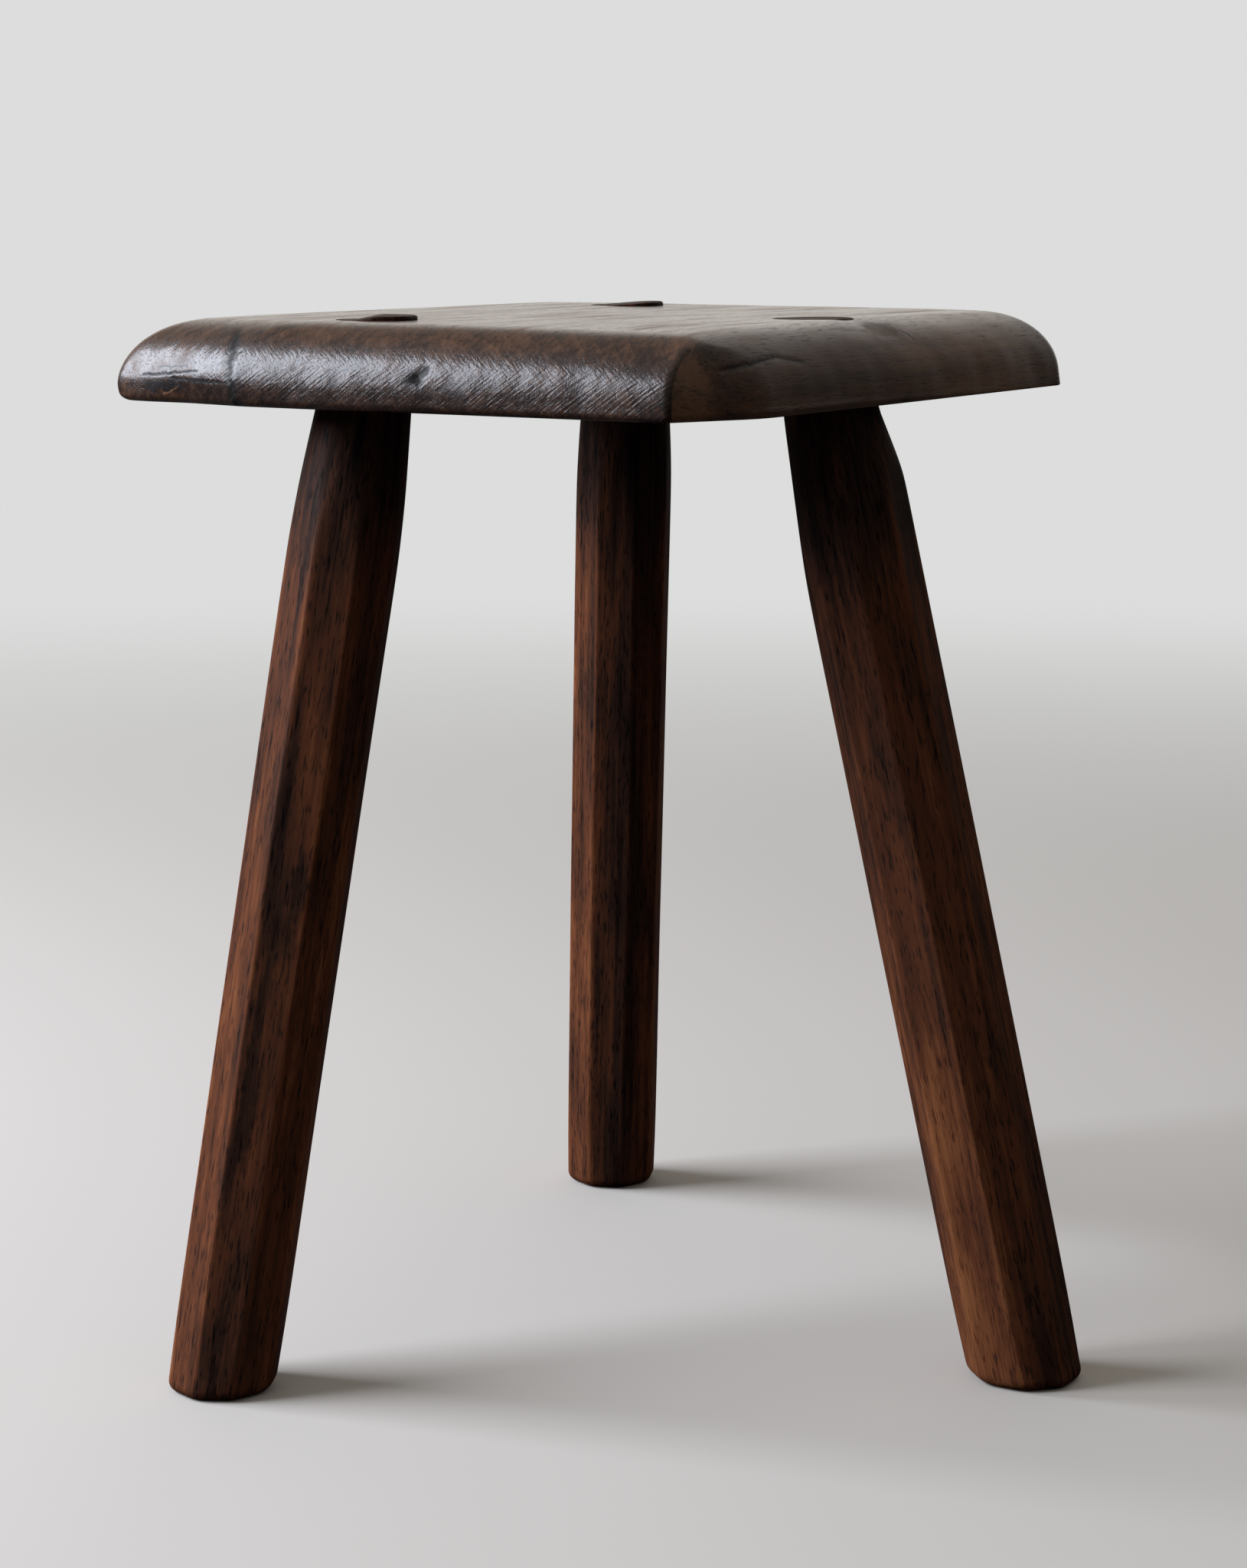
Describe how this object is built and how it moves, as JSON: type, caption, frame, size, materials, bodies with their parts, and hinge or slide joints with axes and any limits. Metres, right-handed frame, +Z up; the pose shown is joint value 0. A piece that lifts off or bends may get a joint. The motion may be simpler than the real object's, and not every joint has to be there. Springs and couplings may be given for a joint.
{
  "type": "tripod stool",
  "caption": "Low tripod stool: a square one-plank seat with rounded-over edges on splayed octagonal legs, each shaved to a tapered tenon that is wedged through the seat.",
  "frame": {"origin": "on the floor, under the middle of the stool's bounding box", "axes": "+Z up, +X along the front side of the seat towards the side with a single leg, +Y along the grain of the seat, from the side that the picture shows on the left towards the rear leg"},
  "size_m": [0.283, 0.3024, 0.3315],
  "materials": {
    "seat_wood": "dark brown stain under wax, satin",
    "leg_wood": "dark red-brown stain under wax, satin",
    "wedge_wood": "dark stained end grain"
  },
  "bodies": {
    "root": {"seat": "seat_wood", "leg_left": "leg_wood", "leg_rear": "leg_wood", "leg_right": "leg_wood", "wedge_left": "wedge_wood", "wedge_rear": "wedge_wood", "wedge_right": "wedge_wood"}
  },
  "joints": []
}
